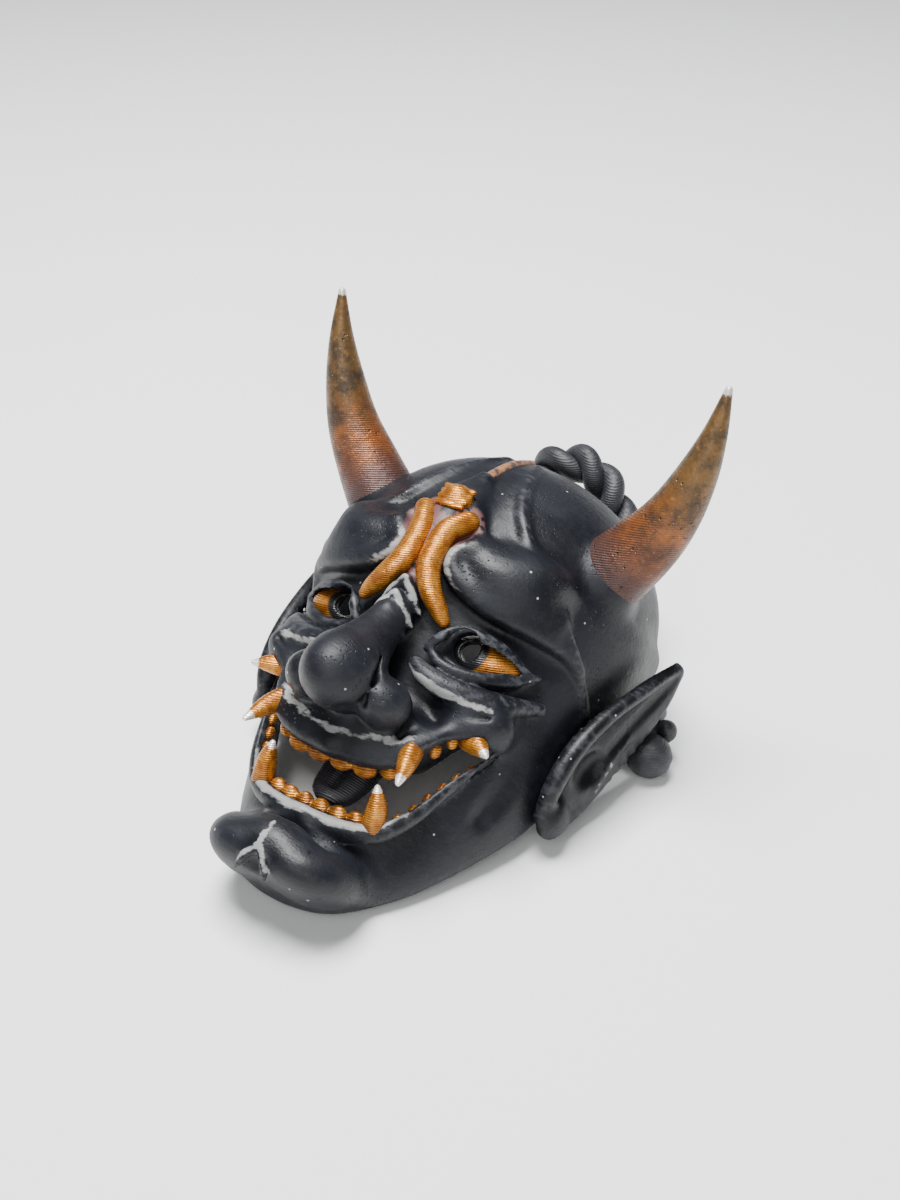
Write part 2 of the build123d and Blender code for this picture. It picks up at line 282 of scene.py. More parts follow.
def near_lines(local, rods, reach):
    """From 1 on the rods to 0 at reach mm from them, on both sides of the face."""
    x, y, z = np.abs(local[:, 0]), local[:, 1], local[:, 2]
    gap = np.full(len(local), 1e3)
    for rod in rods:
        gap = np.minimum(gap, rod.distance(x, y, z))
    return np.clip(1 - gap / reach, 0, 1)


def finish_piece(obj, material, slot, *nodes):
    obj.data.materials.clear()
    obj.data.materials.append(material)
    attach(obj, "root")
    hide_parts(*nodes)


# ---------------------------------------------------------------- lines on the left half of the face
HORN = [(23, -1.6, 23.6), (32, -6.9, 33.6), (37, -11.4, 40.4), (40.3, -16.2, 48), (42.3, -21, 55.4),
        (43.3, -25.9, 63.1)]
HORN_RADII = (8.4, 6.8, 5.5, 4.1, 2.5, 0.8)
BAND = [(4.9, -26.0, 24.8), (2.8, -28.4, 21.6), (2.4, -29.4, 17.6), (2.8, -30.2, 13.6), (4.8, -30.2, 9.8),
        (7.4, -28.8, 6.8), (9, -27.6, 5)]
BAND_RADII = (2.1, 2.4, 2.4, 2.4, 2.2, 1.8, 1.2)
UPPER_LIP = [(0, -32.8, -24.0), (7, -32.2, -23.6), (12.6, -30.4, -21.6), (15.8, -28.4, -17.4),
             (18.6, -26, -13.6), (22.6, -23.6, -11.6), (25.6, -19.4, -12)]
UPPER_LIP_RADII = (2.2, 2.2, 2.2, 2.0, 1.8, 1.5, 0.8)
LOWER_LIP = [(0, -32, -37.6), (7, -31, -37.4), (12.6, -28.8, -36), (16.8, -26.2, -31.2), (19.6, -23.4, -24.6),
             (22.2, -20.6, -18), (24.2, -18.4, -13.4)]
LOWER_LIP_RADII = (2.3, 2.3, 2.2, 2.0, 1.8, 1.5, 1)
BROW_EDGE = [(8.6, -27.2, 20.6), (6.3, -28.0, 18.0), (6.6, -28.2, 15.2), (9.6, -27.6, 12.8),
             (14.2, -26.0, 11.2), (19.2, -23.2, 10.4), (24, -19.4, 10.0), (28, -14.2, 9.0), (30.2, -9, 7)]
BROW_EDGE_RADII = (1.2, 1.5, 1.8, 2.0, 2.0, 2.0, 1.8, 1.4, 0.7)
CHEEK_SHELF = [(7.6, -28.8, -4.2), (10.4, -28.8, -5.6), (14.4, -27.9, -6.4), (19, -25.8, -6.2),
               (24, -21.6, -5.2), (28.4, -14.6, -3)]
CHEEK_SHELF_RADII = (1.4, 2.0, 2.2, 2.2, 2.0, 1.2)
TEMPLE_RIDGE = [(3.6, -3.6, 44.0), (6.6, -12, 38.8), (10.8, -18.2, 31.4), (15.6, -19.6, 25.2),
                (20.6, -18.8, 19.6), (25.4, -16.8, 14.6), (29.4, -13, 9.8), (31.4, -8, 5.4), (32.6, -3, 0)]
TEMPLE_RIDGE_RADII = (0.7, 0.9, 1.1, 1.2, 1.3, 1.2, 1.1, 0.9, 0.5)
INNER_RIDGE = [(0.6, -17.4, 36.2), (2.4, -22, 30.0), (7.4, -24.6, 23.6), (12.6, -25.4, 18.8)]
CHEVRONS = [[(0, -31.2, 9.8), (2.2, -30.6, 7.4), (4.6, -28.6, 4.4)],
            [(0, -32.6, 6.4), (2.4, -31.8, 4.0), (4.8, -30, 1.4)],
            [(0, -33.6, 3.4), (2.2, -33, 1.4), (4.4, -31.2, -0.8)]]
CHIN_STEM = [(0, -35, -40.4), (0, -39.6, -42.6), (0, -41.8, -45.2)]
CHIN_FORK = [(0, -41.4, -45), (2.0, -42.6, -47.6), (3.2, -42.0, -50.4)]
MOUTH_TOP = [(0, -26.4), (6, -26.2), (11, -24.8), (14.4, -22.6), (16.6, -18.6), (18.4, -15.6), (20.4, -14.2),
             (23.2, -13.6), (24.8, -13.8)]
MOUTH_BOTTOM = [(0, -35.8), (6, -35.8), (11, -35), (14.6, -33.2), (17.4, -29.4), (20.2, -23.4), (23.0, -17.6),
                (24.8, -13.8)]
UPPER_LID = [(8.0, -27.8, -0.4), (9.8, -27.4, 2.2), (12.4, -26.6, 4.1), (16, -25.0, 4.8), (20.4, -22.2, 4.2),
             (25.4, -17.8, 2.2)]
LOWER_LID = [(8.4, -27.6, -0.8), (11.3, -27.2, -2.8), (15.3, -26.0, -3.3), (19.4, -23.6, -2.6),
             (23, -20.0, -1), (26.4, -16, 2)]
FANGS = {
    "corner": ([(20.6, -22.6, -13.4), (23.6, -24.4, -14.0), (26.6, -26.2, -15.2)], (2.3, 1.9, 0.6)),
    "upper": ([(14.6, -30.6, -19.6), (16.0, -33.4, -22.4), (17.2, -36.2, -25.8)], (2.3, 1.8, 0.6)),
    "lower": ([(12.6, -29.0, -35.0), (12.5, -30.6, -31.2), (11.9, -32.2, -28.0)], (2.3, 1.9, 0.6)),
}
CROWN_LINE = [(0, -20.8, 31.4), (0, -17.8, 34.6), (0, -13.0, 38.7), (0, -7.0, 42.6), (0, 0.0, 45.7)]
ROPE_ARCH = [(41.2, 20.6, 3.4), (35.5, 26.2, 7.0), (28.6, 28.0, 11.5), (24.0, 28.4, 18.0), (20.6, 28.4, 26.0),
             (17.6, 28.0, 36.0), (12.4, 26.6, 46.4), (6.0, 23.6, 53.0), (0.0, 22.4, 54.8)]

# The bare face under its features: level up the face, half width, front, middle, and how round it is.
FACE_LEVELS = np.array([
    (-60, 9, -28, -20, 2.0),
    (-56, 12.5, -30, -17, 2.0),
    (-52, 16, -31, -14, 2.0),
    (-48, 19.5, -31, -12, 2.0),
    (-44, 22.6, -30.5, -10, 1.95),
    (-40, 25, -30, -8, 1.9),
    (-36, 27, -29.5, -6, 1.85),
    (-31, 29.2, -29, -4.5, 1.8),
    (-26, 31, -28.5, -3, 1.8),
    (-20, 32.3, -27.5, -1, 1.8),
    (-14, 33, -27, 1, 1.85),
    (-8, 33.7, -27, 3, 1.9),
    (-2, 34.1, -27, 5, 1.95),
    (4, 34.4, -26.5, 7, 2.0),
    (10, 34.6, -26, 9, 2.0),
    (17, 34.8, -24.5, 11.6, 2.0),
])


def bare_face(x, y, z, inset=0.0):
    """Distance to the bare lower face, drawn in by inset."""
    level = FACE_LEVELS[:, 0]
    width, front, middle, round_ = (
        np.interp(z, level, FACE_LEVELS[:, i]).astype(np.float32) for i in range(1, 5)
    )
    width = np.maximum(width - inset, 1)
    depth = np.maximum(middle - front - inset, 1)
    ahead = -np.minimum(y - middle, 0)
    ring = ((np.maximum(x, 0) / width) ** round_ + (ahead / depth) ** round_) ** (1 / round_)
    ring = (ring - 1) * np.minimum(width, depth)
    ring = blend_max(ring, -(z + 55.5 - inset), 5)
    return blend_max(ring, z - 19, 3)


def bare_mask(x, y, z, inset=0.0):
    centre, radii = SKULL
    skull = Ball(centre, [r - inset for r in radii]).distance(x, y, z)
    return blend_min(skull, bare_face(x, y, z, inset), 4)


def mouth_gap(x, y, z):
    """Below 0 inside the open mouth."""
    top = np.interp(x.ravel(), *zip(*MOUTH_TOP), right=-15.2)[:, None, None]
    bottom = np.interp(x.ravel(), *zip(*MOUTH_BOTTOM), right=-12.8)[:, None, None]
    gap = np.maximum(z - top, bottom - z) * 0.8
    return np.maximum(gap, y + 12).astype(np.float32)


def model_chin_and_muzzle(add):
    """The chin, broad and curled forward, then the muzzle, cheekbone and upper lip."""
    add(Ball((5.8, -30.5, -46.4), (9.8, 12.2, 6.2)), 3)
    add(Ball((0, -33, -44), (6, 8.4, 4.6)), 4)
    add(Ball((0, -24.5, -19.5), (20.5, 9.6, 6.8)), 4)
    add(Ball((19.6, -19.6, -9.4), (8.8, 7.8, 5.2), (0, 0, 0)), 3)
    add(Rod(UPPER_LIP, UPPER_LIP_RADII), 2.4)


def model_nose(add, cut):
    """The nose, with nostrils and the crease round each wing, and the frown above it."""
    add(Rod([(0, -26, 9), (0, -29.6, 4), (0, -34.3, -3), (0, -38.6, -9)], (2.1, 2.8, 4.0, 5.9)), 2.8)
    add(Ball((0, -40.6, -11.6), (6.3, 7.8, 6.3)), 3.0)
    add(Ball((8.2, -35.0, -13.4), (4.9, 6.2, 4.7)), 2.2)
    cut(Rod([(4.6, -38.4, -5.6), (6.2, -40.2, -9.6), (6.6, -40.2, -15.0)], (0.3, 0.8, 0.7)), 1.6)
    cut(Ball((4.4, -40.2, -18.4), (2.6, 3.4, 2.4)), 1.2)
    cut(Rod([(8.6, -33.4, -6.8), (12.2, -32.8, -9.4), (13.4, -31.6, -13.8), (12, -32.2, -18)],
            (0.4, 0.9, 1, 0.6)), 1.8)
    add(Rod([(0, -20, 28), (0, -23.6, 23), (0, -25.4, 17), (0, -26, 11)], (4.4, 4.4, 4.0, 3.2)), 3)
    for line in CHEVRONS:
        add(Rod(line, (1.0, 0.9, 0.4)), 0.8)


def model_brow(add, cut):
    """A broad pad with a sharp hooked lower edge."""
    add(Ball((14.6, -17.6, 17.6), (12.2, 9.6, 7.0), (0, -14, 24)), 3)
    add(Rod([(9.4, -24.4, 18.2), (14.6, -23.2, 15.6), (19.8, -20.6, 14.2), (24.8, -16.6, 12.8)],
            (4.0, 4.8, 4.6, 3.2)), 3)
    cut(Rod([(9.4, -28.6, 9.6), (13, -27.6, 7.6), (19, -24.8, 6.2), (24, -20.4, 5.4), (28.4, -15, 4.6)],
            (0.8, 1.8, 2.4, 2.6, 1.8)), 1.6)
    add(Rod(BROW_EDGE, BROW_EDGE_RADII), 2)


def model_eye(add, cut):
    """The shelf of the cheek with the crease under it, then the eye's socket, ball and lids."""
    add(Rod(CHEEK_SHELF, CHEEK_SHELF_RADII), 1.6)
    cut(Rod([(8.8, -30.6, -8.0), (12, -31, -9.4), (16, -30.4, -10.0), (20, -28.6, -9.8), (24, -25.4, -8.8)],
            (0.5, 1.0, 1.1, 0.9, 0.3)), 1.2)
    cut(Rod([(9.6, -29, 2.6), (15, -27.4, 4.4), (21, -24.4, 4.4), (26, -20, 3.4), (30, -15, 2)],
            (1.4, 2.4, 2.6, 2.2, 1)), 1.6)
    add(Ball((15.6, -18.2, 1.2), (8.4, 7.4, 5.8)), 2)
    add(Rod([(x, y - 0.4, z - 0.3) for x, y, z in UPPER_LID], (0.7, 1.2, 1.5, 1.7, 1.5, 0.7)), 0.8)
    add(Rod([(x, y - 0.3, z + 0.4) for x, y, z in LOWER_LID], (0.7, 1.1, 1.2, 1.3, 1.1, 0.7)), 0.8)


def model_lower_lip(add, cut):
    """The lower lip, the forked ridge on the chin and the fold of the smile behind the mouth's corner."""
    add(Rod(LOWER_LIP, LOWER_LIP_RADII), 1.2)
    cut(Rod([(0, -35.6, -41), (8, -34.2, -40.8), (15, -30.8, -38.6)], (1.4, 1.4, 0.8)), 2.4)
    cut(Ball((0, -43.5, -49.4), (2.6, 3.2, 2.6)), 1.6)
    add(Rod(CHIN_STEM, (0.5, 1, 1)), 0.8)
    add(Rod(CHIN_FORK, (1, 0.9, 0.4)), 0.8)
    smile = [(27.4, -19, -8), (28.8, -16, -12), (28.4, -14.5, -18), (26, -15.5, -26)]
    cut(Rod(smile, (0.2, 0.5, 0.5, 0.2)), 4)


def model_temple(add):
    """The ridges over the temple, and the swelling at the foot of the horn."""
    add(Rod(TEMPLE_RIDGE, TEMPLE_RIDGE_RADII), 1.6)
    add(Rod(INNER_RIDGE, (0.5, 0.9, 1, 0.5)), 2.4)
    add(Rod([(22, -1.4, 21), (26, -3.6, 26)], (9.0, 7.8)), 2.5)


def model_features(clay):
    """Builds the face up from the bare mask."""
    model_chin_and_muzzle(clay.add)
    model_nose(clay.add, clay.cut)
    model_brow(clay.add, clay.cut)
    model_eye(clay.add, clay.cut)
    model_lower_lip(clay.add, clay.cut)
    model_temple(clay.add)


def open_up(clay):
    """Hollows the mask and cuts its mouth, eyes, open back and resting edge."""
    x, y, z = clay.all()
    clay.keep(-bare_mask(x, y, z, WALL), 0.8)
    clay.keep(-mouth_gap(x, y, z), 0.9)
    almond = [(9.6, -27.2, -0.4), (12.5, -26, 1.0), (16.5, -24, 1.5), (20.5, -21, 1.8), (23.8, -18.3, 2.0)]
    clay.cut(Rod(almond, (0.6, 2.4, 3.0, 2.4, 0.6)), 0.6)
    across, up = PUPIL_AT
    clay.cut(Rod([(across, -32, up), (across, -8, up)], (IRIS, IRIS)), 0.4)
    clay.keep(y - BACK + 0 * z, 0.8)
    level = y * cos(LEAN) + z * sin(LEAN) + EYE_SETBACK
    height = z * cos(LEAN) - y * sin(LEAN) + EYE_HEIGHT
    rise = np.maximum(0, (level - JAW_REST) * tan(JAW_RISE))
    clay.keep(rise - height + 0 * x, 5)


def pale_edges():
    """Lines of the face that are dry-brushed: lip, frown, brow hook and cheek crease."""
    lower_lip = [(x * 1.01, y - 1.7, z + 0.8) for x, y, z in LOWER_LIP[:4]]
    edges = [Rod(lower_lip, (0.45, 0.45, 0.35, 0.05))]
    for line in CHEVRONS[:2]:
        edges.append(Rod([(x, y - 0.9, z + 0.3) for x, y, z in line], (0.05, 0.08, 0.05)))
    upper_lip = [(0, -35.4, -21.6), (5.5, -35.4, -20.8), (11, -33.6, -19.4), (15, -31, -17)]
    hook = [(7.2, -28.8, 19.6), (5.4, -29.0, 17.6), (5.8, -29.4, 15.2), (8.6, -28.8, 12.6), (12, -27.6, 11)]
    crease = [(6.4, -29.6, -5.0), (8.5, -30.4, -6.6), (12.4, -30.6, -7.6), (17.4, -29.3, -8.0),
              (24.3, -26, -7.0)]
    edges.append(Rod(upper_lip, (0.2, 0.35, 0.35, 0.1)))
    edges.append(Rod(hook, (0.1, 0.4, 0.45, 0.35, 0.1)))
    edges.append(Rod(crease, (0.1, 0.5, 0.7, 0.5, 0.1)))
    return edges


def chin_mark(local):
    """The pale forked mark on the chin, as seen from straight ahead, so its lines lie on y = 0."""
    fork = [Rod([(0, 0, -40.4), (0.1, 0, -43), (0, 0, -45.4)], (0.1, 0.2, 0.25)),
            Rod([(0, 0, -45.2), (1.5, 0, -46.6), (3.0, 0, -48.8)], (0.25, 0.2, 0.05))]
    ahead = local[:, 1] < -34
    return near_lines(local * (1, 0, 1), fork, 0.9) * ahead


def make_face():
    clay = Clay((0, -56, -60), (44, 26, 50), FACE_GRAIN, halved=True)
    x, y, z = clay.all()
    clay.field = bare_mask(x, y, z).astype(np.float32)
    model_features(clay)
    open_up(clay)
    obj, local = skin("face_sculpt", clay, adaptivity=0.02)
    paint(obj, "brushed", np.maximum(near_lines(local, pale_edges(), 1.3), chin_mark(local)))
    soft = [Rod(TEMPLE_RIDGE, TEMPLE_RIDGE_RADII), Rod(CHEEK_SHELF, CHEEK_SHELF_RADII),
            Rod(UPPER_LID, [0.8] * len(UPPER_LID)), Rod(LOWER_LID, [0.8] * len(LOWER_LID))]
    paint(obj, "rubbed", 0.7 * near_lines(local, soft, 1.0))
    rim = [Rod(BAND[:4], [r + 0.3 for r in BAND_RADII[:4]])]
    paint(obj, "pink", near_lines(local, rim, 2.2))
    # The inner surface of the shell, which the paint makes near black as painted shade.
    inside = bare_mask(np.abs(local[:, 0]), local[:, 1], local[:, 2], WALL - 0.8)
    paint(obj, "inside", inside < 0)
    return obj


def make_horn(side):
    clay = Clay((12, -32, 14), (50, 14, 67), SMALL_GRAIN)
    rod = Rod(HORN, HORN_RADII, steps=8)
    clay.add(rod, 0.3)
    obj, local = skin(f"horn_{side}_sculpt", clay, mirror=side == "right")
    paint(obj, "along", rod.nearest(np.abs(local[:, 0]), local[:, 1], local[:, 2])[1])
    return obj


def make_rod_piece(name, points, radii, mirror):
    """A small piece made of one rod."""
    rod = Rod(points, radii)
    clay = Clay(rod.low - 1, rod.high + 1, FINE_GRAIN)
    clay.add(rod, 0.3)
    obj, local = skin(name, clay, mirror=mirror)
    if mirror:
        local = local * (-1, 1, 1)
    paint(obj, "along", rod.nearest(*local.T)[1])
    return obj


def make_crest():
    """The block of four fine ridges over the bands."""
    clay = Clay((-4.5, -31, 22), (4.5, -17, 33), FINE_GRAIN)
    clay.add(Ball((0, -24.8, 28.4), (3.5, 3.0, 3.2)), 0.4)
    for i, rise in enumerate((0, 1.4, 2.8, 4.2)):
        reach = 2.7 + 0.1 * i
        y, z = -27.2 + 0.5 * rise, 26.6 + 0.9 * rise
        clay.add(Rod([(-reach, y, z + 0.3), (0, y - 0.5, z), (reach, y, z + 0.3)], (0.6, 0.7, 0.6)), 0.25)
    return skin("crest_sculpt", clay)[0]


def make_eye(side):
    """A gold plate, hollow behind, with the pupil cut through it."""
    clay = Clay((6, -26, -5), (26, -14, 8), FINE_GRAIN)
    ball = ((15.8, -17.2, 1.3), (8.6, 6.7, 4.8))
    clay.add(Ball(*ball), 0.1)
    clay.cut(Ball(ball[0], [r - 1.6 for r in ball[1]]), 0.2)
    x, y, z = clay.all()
    clay.keep(y + EYE_BACK + 0 * x + 0 * z, 0.2)
    across, up = PUPIL_AT
    clay.cut(Rod([(across, -32, up), (across, -8, up)], (PUPIL, PUPIL)), 0.3)
    obj, local = skin(f"eye_{side}_sculpt", clay, mirror=side == "right")
    off = np.hypot(np.abs(local[:, 0]) - across, local[:, 2] - up)
    paint(obj, "iris", np.clip((BLACK_RING - off) / 0.5, 0, 1))
    return obj


# Teeth are blunt ovals, each given by its middle and radii.
UPPER_TEETH = [((2.45, -31.2, -26.0), (2.6, 1.5, 1.9)), ((7.2, -30.7, -25.7), (2.6, 1.5, 1.9)),
               ((11.4, -29.4, -24.3), (2.0, 1.4, 1.8)), ((17.2, -26.8, -17.8), (1.2, 1.3, 1.6)),
               ((19.0, -25.2, -15.2), (1.1, 1.2, 1.4))]
LOWER_TEETH = [((1.8, -30.4, -35.4), (1.9, 1.2, 1.7)), ((5.4, -30.1, -35.4), (1.9, 1.2, 1.7)),
               ((8.8, -29.3, -35.0), (1.7, 1.2, 1.6))]
SIDE_TEETH = [((15.4, -26.2, -32.2), (1.1, 1.2, 1.3)), ((17.0, -25.0, -29.6), (1.0, 1.2, 1.5)),
              ((18.3, -23.8, -26.8), (1.0, 1.1, 1.5)), ((19.6, -22.6, -24.0), (0.9, 1.1, 1.5)),
              ((20.9, -21.2, -21.2), (0.8, 1.0, 1.4)), ((22.1, -19.6, -18.6), (0.7, 0.9, 1.2))]
TOOTH_BLEND = 0.35


def make_teeth(name, teeth):
    """The teeth of one jaw, on both sides of the middle."""
    low = np.min([np.array(centre) - radii for centre, radii in teeth], axis=0) - 2
    high = np.max([np.array(centre) + radii for centre, radii in teeth], axis=0) + 2
    low[0] = -high[0]
    clay = Clay(low, high, FINE_GRAIN)
    for (x, y, z), radii in teeth:
        clay.add(Ball((x, y, z), radii), TOOTH_BLEND)
        clay.add(Ball((-x, y, z), radii), TOOTH_BLEND)
    return skin(name, clay)[0]


def make_side_teeth(side):
    """The row of small teeth along one side of the lower jaw."""
    clay = Clay((11, -30, -35), (25, -17, -15), FINE_GRAIN)
    for centre, radii in SIDE_TEETH:
        clay.add(Ball(centre, radii), TOOTH_BLEND)
    return skin(f"side_teeth_{side}_sculpt", clay, mirror=side == "right")[0]


def make_tongue():
    """A flat tongue that hangs behind the teeth, with a groove down its middle."""
    line = [(0, -24.4, -12.0), (0, -20.8, -19.0), (0, -20.6, -26.0), (0, -24.0, -31.6), (0, -25.6, -33.2)]
    rod = Rod(line, (3.0, 3.0, 2.9, 2.4, 1.6), side=(1, 0, 0), wide=2.1)
    clay = Clay(rod.low - 1, rod.high + 1, SMALL_GRAIN)
    clay.add(rod, 0.4)
    groove = [(0, -27.4, -14), (0, -24, -19.5), (0, -23.9, -26), (0, -26.6, -30.5)]
    clay.cut(Rod(groove, [0.7] * len(groove)), 1.0)
    return skin("tongue_sculpt", clay)[0]


def make_ear(side):
    """A long swept-back ear: a leaf with a thick rim, a bowl and a groove up to its tip."""
    clay = Clay((26, -15, -30), (47, 26, 23), SMALL_GRAIN)
    leaf = Rod([(33.6, -2.2, -20.6), (34.6, -1.2, -14), (36.0, 2.4, -6), (38.4, 7.6, 3), (40.6, 11.4, 11),
                (42, 14, 17.2)], (1.2, 1.7, 1.9, 1.6, 1.1, 0.5), side=(0.3, 0.86, -0.42), wide=4.2)
    clay.add(leaf, 0.6)
    front = [(33.4, -5.4, -21.2), (34.4, -8.4, -14.4), (35.6, -7.2, -6.4), (37.4, -2.0, 2.0),
             (39.8, 5.4, 9.8), (42, 13.6, 17.0)]
    clay.add(Rod(front, (1.7, 1.9, 1.8, 1.6, 1.3, 0.6)), 0.8)
    back = [(34.2, -2.6, -22.6), (35.2, 3.4, -17.6), (36.6, 8.4, -9), (38.6, 12.2, 0), (40.8, 14.4, 9.4),
            (42, 14.4, 17.0)]
    clay.add(Rod(back, (1.9, 1.8, 1.7, 1.5, 1.2, 0.6)), 0.8)
    clay.add(Ball((34.6, -2.4, -20.6), (2.8, 4.2, 4.2)), 1.2)
    clay.cut(Ball((38.4, -1.0, -10.0), (3.4, 3.6, 5.6), (-28, 0, 0)), 1.0)
    groove = [(39.2, 3, -4), (40.4, 6.6, 3), (42, 10.6, 10.4), (43, 12.6, 14.4)]
    clay.cut(Rod(groove, (1.0, 1.1, 0.9, 0.3)), 1.4)
    clay.add(Rod([(37.4, 4.2, -12.4), (38.2, 4.6, -7), (39.2, 7.4, -0.6)], (0.8, 1.0, 0.6)), 1.0)
    obj, local = skin(f"ear_{side}_sculpt", clay, mirror=side == "right")
    rim = [Rod(front, (1.4, 1.6, 1.5, 1.3, 1.0, 0.5)), Rod(back, (1.6, 1.5, 1.4, 1.2, 0.9, 0.5))]
    paint(obj, "rubbed", 0.8 * near_lines(local, rim, 0.8))
    fold = Rod([(38.2, 4.6, -12), (39.2, 5, -7)], (0.7, 0.7))
    paint(obj, "brushed", 0.55 * near_lines(local, [fold], 1.0))
    return obj


STRAND = 2.45  # radius of one strand of the rope
STRAND_OFFSET = 2.0  # from the middle of the rope to the middle of a strand
LAY = 16.0  # length of one full turn of the twist
ROPE_STEP = 0.6  # from one ring of a strand's points to the next
RING = 20  # points in a ring
CAP = 4  # rings in a strand's rounded end


def tube(path, radius):
    """Points and faces of a round tube along a path, with rounded ends."""
    path = np.asarray(path)
    run = np.gradient(path, axis=0)
    run /= np.linalg.norm(run, axis=1, keepdims=True)
    out = np.cross(run[0], (0, 1, 0.2))
    points, count = [], len(path)
    radii = np.full(count, radius)
    for k in range(CAP):
        radii[k] = radii[count - 1 - k] = radius * sin(pi / 2 * (k + 0.6) / (CAP + 0.6))
    for centre, along, r in zip(path, run, radii):
        out = out - along * (out @ along)
        out /= np.linalg.norm(out)
        over = np.cross(along, out)
        for i in range(RING):
            turn = 2 * pi * i / RING
            points.append(centre + r * (cos(turn) * out + sin(turn) * over))
    faces = []
    for first in range(0, (count - 1) * RING, RING):
        for i in range(RING):
            j = (i + 1) % RING
            faces.append((first + i, first + j, first + RING + j, first + RING + i))
    faces.append(tuple(range(RING))[::-1])
    faces.append(tuple((count - 1) * RING + i for i in range(RING)))
    return points, faces


def make_rope():
    """Two strands twisted round one another along the arch, from one end knob to the other."""
    arch = ROPE_ARCH + [(-x, y, z) for x, y, z in ROPE_ARCH[-2::-1]]
    line = curve_through(arch, [1] * len(arch), 40)[:, :3].astype(float)
    step = np.linalg.norm(np.diff(line, axis=0), axis=1)
    travelled = np.concatenate([[0], np.cumsum(step)])
    even = np.arange(0, travelled[-1], ROPE_STEP)
    line = np.column_stack([np.interp(even, travelled, line[:, i]) for i in range(3)])
    run = np.gradient(line, axis=0)
    run /= np.linalg.norm(run, axis=1, keepdims=True)
    out = np.cross(run, (0, 1, 0.2))
    out /= np.linalg.norm(out, axis=1, keepdims=True)
    over = np.cross(run, out)
    points, faces = [], []
    for half in (0, pi):
        turn = (2 * pi * even / LAY + half)[:, None]
        path = line + STRAND_OFFSET * (np.cos(turn) * out + np.sin(turn) * over)
        more, more_faces = tube(path, STRAND)
        faces += [tuple(i + len(points) for i in face) for face in more_faces]
        points += more
    return solid("rope_sculpt", points, faces)


def make_knob(side):
    """The whipped end of the rope: a fat turn of the strand on its spigot."""
    clay = Clay((31, 12, -8), (48, 27, 7), SMALL_GRAIN)
    across, back, up = KNOB_AT
    clay.add(Ball(KNOB_AT, (4.75, 4.7, 4.7)), 0.3)
    clay.add(Rod([(33.2, 18.4, up), (40, 18.8, up)], (2.1, 2.1)), 0.8)
    for rise in (-0.95, 0.95):
        angles = np.linspace(0, 2 * pi, 13)
        ring = [(across + 3.9 * cos(a), back + 3.9 * sin(a), up + rise) for a in angles]
        clay.add(Rod(ring, [0.85] * len(ring)), 0.5)
    return skin(f"knob_{side}_sculpt", clay, mirror=side == "right")[0]


